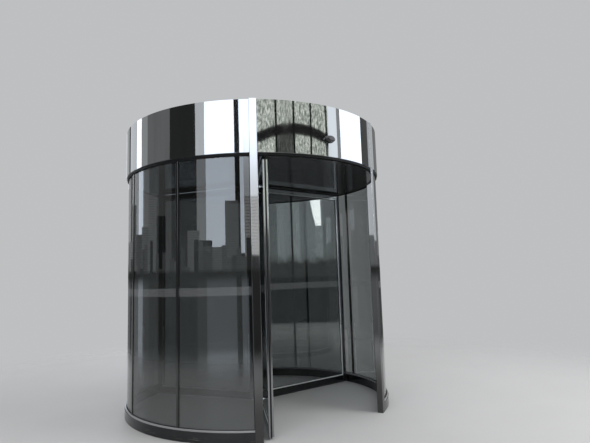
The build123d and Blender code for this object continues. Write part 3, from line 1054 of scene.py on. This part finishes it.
# %% Fit the gaskets of both walls
FOOT_SEAL = (0.0062, 0.0134), (0.100, 0.113), 0.0015
HEAD_SEAL = (0.006, 0.011), (2.672, 2.680), 0.0012
for side, start in WALL_STARTS.items():
    seals = []
    for (near, far), heights, corner in (FOOT_SEAL, HEAD_SEAL):
        for radii in ((WALL_RADIUS + near, WALL_RADIUS + far), (WALL_RADIUS - far, WALL_RADIUS - near)):
            seals.append(arc("seal", radii, heights, start + POST_HALF, WALL_SPAN - 2 * POST_HALF, corner))
    rubber = joined(seals, f"wall_gasket_{side}")
    smooth(rubber)
    dressed(rubber, rubber_black, "drum", "black_channel")

# %% [markdown]
# Beside each upright joint and each post, a narrow line of sealant closes the gap to the glass. One
# strip with soft edges is modelled along z and copied to its places, inside and outside the glass.

# %% Copy one line of sealant to all its places
LINE_OFF = 0.0075
LINE_THICK, LINE_WIDE, LINE_FOOT, LINE_HEAD = 0.002, 0.0028, 0.108, 2.672
JOINT_HALF = math.degrees(0.0125 / WALL_RADIUS)
FROM_POST = POST_HALF + 0.1

sealant = block("sealant", (-LINE_THICK, -LINE_WIDE, LINE_FOOT), (LINE_THICK, LINE_WIDE, LINE_HEAD))
round_edges(sealant, 0.0014)
for side, start in WALL_STARTS.items():
    angles = [start + FROM_POST, start + WALL_SPAN - FROM_POST]
    for joint in (30, 60, 90):
        angles += [start + joint - JOINT_HALF, start + joint + JOINT_HALF]
    lines = []
    for radius in (WALL_RADIUS + LINE_OFF, WALL_RADIUS - LINE_OFF):
        for angle in angles:
            lines.append(moved(moved(copied(sealant), shift=(radius, 0, 0)), angle))
    rubber = joined(lines, f"wall_sealant_{side}")
    smooth(rubber)
    dressed(rubber, rubber_black, "drum", "black_channel")
bpy.data.objects.remove(sealant)

# %% [markdown]
# ## Screws
# Clamp collars, the floor bearing, the housing and the roof are screwed. A screw head is a cylinder
# with a rounded rim and a socket: the rim of its top is bevelled, and the top is inset and pushed
# in. A Boolean could cut the socket too, but it leaves long thin faces round the hole.

# %% Model one screw head


def screw_head(name, radius, height):
    """A cap with a socket, standing on z = 0."""
    bpy.ops.object.select_all(action="DESELECT")
    bpy.ops.mesh.primitive_cylinder_add(vertices=18, radius=radius, depth=height,
                                        location=(0, 0, height / 2))
    head = named(name)
    edit(head)
    pick(head, tops)
    bpy.ops.mesh.bevel(offset=radius * 0.18, segments=2)
    pick(head, lambda middle, normal: tops(middle, normal) and middle.xy.length < radius * 0.1)
    bpy.ops.mesh.inset(thickness=radius * 0.36)
    bpy.ops.mesh.extrude_region_move(TRANSFORM_OT_translate={"value": (0, 0, -height * 0.6)})
    done()
    smooth(head, 30)
    return head


def ring_of(head, count, radius, height, start=0.0):
    """Copies of an upright screw head round the axis."""
    angles = [math.radians(start + 360 * i / count) for i in range(count)]
    return [moved(copied(head), shift=(radius * math.cos(a), radius * math.sin(a), height))
            for a in angles]


# %% Screw the collars
COLLAR_FACE = 0.0745
COLLAR_LEVELS = (0.130, 2.575)

cap = screw_head("cap", radius=0.0065, height=0.006)
heads = []
for segment in (turn + 60 for turn in wing_turns):
    for level in COLLAR_LEVELS:
        for swing in (-17, 17):
            head = tilted(copied(cap), 90, "Y")
            heads.append(moved(moved(head, shift=(COLLAR_FACE, 0, level)), segment + swing))
collar_screws = joined(heads, "collar_screws")
dressed(collar_screws, bearing_steel, "rotor", "bearing_steel")

# %% Screw the floor bearing and the housing
floor_ring = ring_of(cap, count=6, radius=0.072, height=0.0085, start=30)
dressed(joined(floor_ring, "floor_bearing_screws"), bearing_steel, "drum", "bearing_steel")
housing_ring = ring_of(cap, count=4, radius=0.19, height=2.8355, start=45)
dressed(joined(housing_ring, "housing_screws"), bearing_steel, "drum", "bearing_steel")
bpy.data.objects.remove(cap)

# %% [markdown]
# ## Roof
# From above, the canopy is a round cover under the folded lips of the fascia. Strips cover the
# joints of the sheets and are screwed down, as are the lips. Each strip is a thin block with its
# middle raised, and reaches from lip to lip, so its length follows from where it lies.

# %% Lay the cover strips on the roof
ROOF = 3.237
LIP_RADIUS = 1.455
STRIPS_AT = (-0.78, -0.26, 0.26, 0.78)
STRIP_HALF, STRIP_THICK = 0.025, 0.0025


def half_strip(x):
    """Half the length of the strip that lies at x, as far as the lip."""
    return math.sqrt(LIP_RADIUS ** 2 - (abs(x) + 0.03) ** 2)


strips = []
for x in STRIPS_AT:
    strip = block("strip", (x - STRIP_HALF, -half_strip(x), ROOF),
                  (x + STRIP_HALF, half_strip(x), ROOF + STRIP_THICK))
    edit(strip)
    pick(strip, tops)
    bpy.ops.mesh.inset(thickness=0.006)
    bpy.ops.mesh.extrude_region_move(TRANSFORM_OT_translate={"value": (0, 0, 0.0015)})
    done()
    round_edges(strip, 0.0008)
    strips.append(strip)
roof_strips = joined(strips, "roof_strips")
smooth(roof_strips)
dressed(roof_strips, roof_grey, "drum", "grey_steel")

# %% Screw down the lips and the strips
SCREWS_A_STRIP = 9
STRIP_TOP = ROOF + 0.0038

pan = screw_head("pan", radius=0.006, height=0.0035)
pans = ring_of(pan, count=36, radius=1.515, height=3.2397, start=5)
for x in STRIPS_AT:
    reach = half_strip(x) - 0.05
    for i in range(SCREWS_A_STRIP):
        y = -reach + 2 * reach * i / (SCREWS_A_STRIP - 1)
        pans.append(moved(copied(pan), shift=(x, y, STRIP_TOP)))
roof_screws = joined(pans, "roof_screws")
dressed(roof_screws, bearing_steel, "drum", "bearing_steel")
bpy.data.objects.remove(pan)

# %% [markdown]
# ## Sensor windows and the ceiling rosette
# The sensor looks out through a dark oval window in the front of its dome. Round the shaft, the
# hole in the ceiling is trimmed with a polished rosette. The window is a circle made oval, pushed
# out and inset, and the rosette is spun like the gaskets.

# %% Set a window in each sensor dome
WINDOW_AT = (0, -1.6045, 2.885)
WINDOW_HALF = (0.030, 0.0135, 1)
bpy.ops.object.select_all(action="DESELECT")
bpy.ops.mesh.primitive_circle_add(vertices=40, radius=1, fill_type="NGON",
                                  rotation=(math.radians(90), 0, 0), location=WINDOW_AT)
window = named("sensor_window", WINDOW_HALF)
edit(window)
bpy.ops.mesh.select_all(action="SELECT")
bpy.ops.mesh.extrude_region_move(TRANSFORM_OT_translate={"value": (0, -0.0012, 0)})
bpy.ops.mesh.inset(thickness=0.0025)
bpy.ops.mesh.extrude_region_move(TRANSFORM_OT_translate={"value": (0, 0.0006, 0)})
done()
closed(window)
round_edges(window, 0.0003, 1)
smooth(window)
lens_black = black_paint("lens_black", 0.006, rough=0.04, grain=40.0, coat=1.0)
rear_window = moved(copied(window, "sensor_window_rear"), 180)
window.name = "sensor_window_front"
for piece in (window, rear_window):
    dressed(piece, lens_black, "drum", "sensor_plastic")

# %% Spin the rosette round the shaft
rosette = arc("ceiling_rosette", (0.066, 0.096), (2.6725, 2.680), start=0, span=360, corner=0.003)
smooth(rosette)
dressed(rosette, bead_steel, "drum", "polished_steel")
